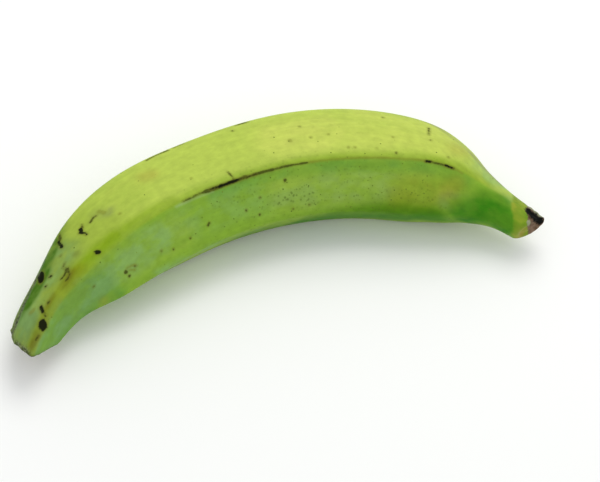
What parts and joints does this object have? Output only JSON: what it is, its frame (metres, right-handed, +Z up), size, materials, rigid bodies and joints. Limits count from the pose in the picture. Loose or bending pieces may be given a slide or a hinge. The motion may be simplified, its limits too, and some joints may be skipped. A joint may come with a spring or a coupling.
{
  "type": "plantain",
  "caption": "Whole green plantain lying on its side: a bent, ridged fruit with an angular cut stalk and a bottle-necked blossom end, for food scenes, kitchens and markets.",
  "frame": {"origin": "on the surface that the fruit lies on, under the middle of its bounding box", "axes": "+X along the chord of the bend, from the stalk's cut to the blossom end; +Y towards the outer side of the bend, so the hollow of the bend faces -Y; +Z up, the fruit lying on its side"},
  "size_m": [0.2562, 0.0948, 0.0461],
  "materials": {
    "peel": null
  },
  "bodies": {
    "root": {"plantain": "peel"}
  },
  "joints": []
}
